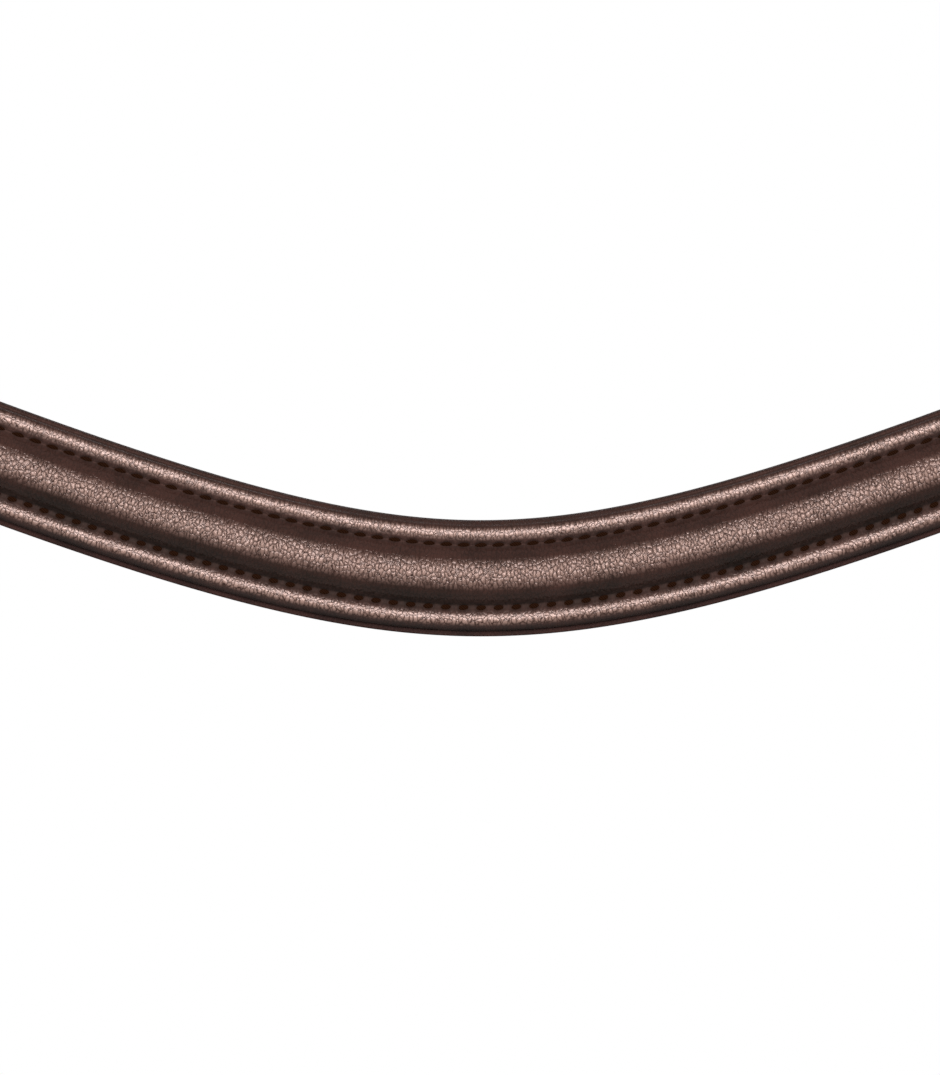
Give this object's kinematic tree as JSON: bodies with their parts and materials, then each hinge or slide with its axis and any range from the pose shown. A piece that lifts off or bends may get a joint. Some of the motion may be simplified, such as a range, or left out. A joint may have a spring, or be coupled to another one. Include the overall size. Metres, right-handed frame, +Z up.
{
  "type": "mechanical hackamore",
  "caption": "Padded leather noseband between steel cheeks with shanks, rein rings and a twisted curb chain, for steering a horse without a bit.",
  "frame": {"origin": "middle of the rear face of the noseband lining, where it rests on the nose", "axes": "+X to the right of the picture, +Y away from the viewer towards the horse's cheeks, +Z up"},
  "size_m": [0.3264, 0.1816, 0.2104],
  "materials": {
    "havana_leather": "dark havana brown, finely pebbled, semi-gloss",
    "lining_leather": "soft dark brown lining leather",
    "strap_leather": "dark havana bridle leather, smooth",
    "filler_leather": "undyed filler leather",
    "felt": "grey felt padding",
    "steel": "polished stainless steel"
  },
  "bodies": {
    "noseband": {"nose_face": "havana_leather", "nose_padding": "felt", "nose_filler": "filler_leather", "nose_lining": "lining_leather", "left_nose_billet": "strap_leather", "right_nose_billet": "strap_leather", "left_nose_chape": "strap_leather", "right_nose_chape": "strap_leather", "left_nose_keeper": "strap_leather", "right_nose_keeper": "strap_leather", "left_nose_buckle": "steel", "right_nose_buckle": "steel"},
    "left_runner": {"left_nose_runner": "strap_leather"},
    "right_runner": {"right_nose_runner": "strap_leather"},
    "left_nose_tongue": {"left_nose_tongue": "steel"},
    "right_nose_tongue": {"right_nose_tongue": "steel"},
    "left_cheek": {"left_cheek": "steel"},
    "right_cheek": {"right_cheek": "steel"},
    "left_rein_ring": {"left_rein_ring": "steel"},
    "right_rein_ring": {"right_rein_ring": "steel"},
    "curb": {"left_curb_strap": "strap_leather", "right_curb_strap": "strap_leather", "left_curb_chape": "strap_leather", "right_curb_chape": "strap_leather", "left_curb_keeper": "strap_leather", "right_curb_keeper": "strap_leather", "left_curb_buckle": "steel", "right_curb_buckle": "steel", "left_curb_end_ring": "steel", "right_curb_end_ring": "steel", "curb_link_1": "steel", "curb_link_2": "steel", "curb_link_3": "steel", "curb_link_4": "steel", "curb_link_5": "steel", "curb_link_6": "steel", "curb_link_7": "steel", "curb_link_8": "steel", "curb_link_9": "steel", "curb_link_10": "steel", "curb_link_11": "steel", "curb_link_12": "steel"},
    "left_curb_tongue": {"left_curb_tongue": "steel"},
    "right_curb_tongue": {"right_curb_tongue": "steel"}
  },
  "joints": [
    {"name": "left_cheek_swing", "type": "hinge", "parent": "noseband", "child": "left_cheek", "pos_m": [0.1462, 0.123, 0.03676], "axis": [1, 0, 0], "range_deg": [-20, 40]},
    {"name": "right_cheek_swing", "type": "hinge", "parent": "noseband", "child": "right_cheek", "pos_m": [-0.1462, 0.123, 0.03676], "axis": [1, 0, 0], "range_deg": [-20, 40]},
    {"name": "curb_swing", "type": "hinge", "parent": "left_cheek", "child": "curb", "pos_m": [0.1462, 0.15897, 0.0391], "axis": [1, 0, 0], "range_deg": [-25, 60]},
    {"name": "left_rein_ring_swing", "type": "hinge", "parent": "left_cheek", "child": "left_rein_ring", "pos_m": [0.1462, 0.09426, -0.09219], "axis": [1, 0, 0], "range_deg": [-60, 60]},
    {"name": "right_rein_ring_swing", "type": "hinge", "parent": "right_cheek", "child": "right_rein_ring", "pos_m": [-0.1462, 0.09426, -0.09219], "axis": [1, 0, 0], "range_deg": [-60, 60]},
    {"name": "left_nose_tongue_lift", "type": "hinge", "parent": "noseband", "child": "left_nose_tongue", "pos_m": [0.147, 0.082, 0.03676], "axis": [0, 0, -1], "range_deg": [0, 30]},
    {"name": "right_nose_tongue_lift", "type": "hinge", "parent": "noseband", "child": "right_nose_tongue", "pos_m": [-0.147, 0.082, 0.03676], "axis": [0, 0, 1], "range_deg": [0, 30]},
    {"name": "left_curb_tongue_lift", "type": "hinge", "parent": "curb", "child": "left_curb_tongue", "pos_m": [0.12181, 0.15897, 0.02371], "axis": [0, 1, 0], "range_deg": [0, 30]},
    {"name": "right_curb_tongue_lift", "type": "hinge", "parent": "curb", "child": "right_curb_tongue", "pos_m": [-0.12181, 0.15897, 0.02371], "axis": [0, -1, 0], "range_deg": [0, 30]},
    {"name": "left_runner_slide", "type": "slide", "parent": "noseband", "child": "left_runner", "axis": [0, 1, 0], "range_m": [-0.002, 0.002]},
    {"name": "right_runner_slide", "type": "slide", "parent": "noseband", "child": "right_runner", "axis": [0, 1, 0], "range_m": [-0.002, 0.002]}
  ],
  "couplings": [
    {"joint": "right_cheek_swing", "follows": "left_cheek_swing", "ratio": 1}
  ]
}
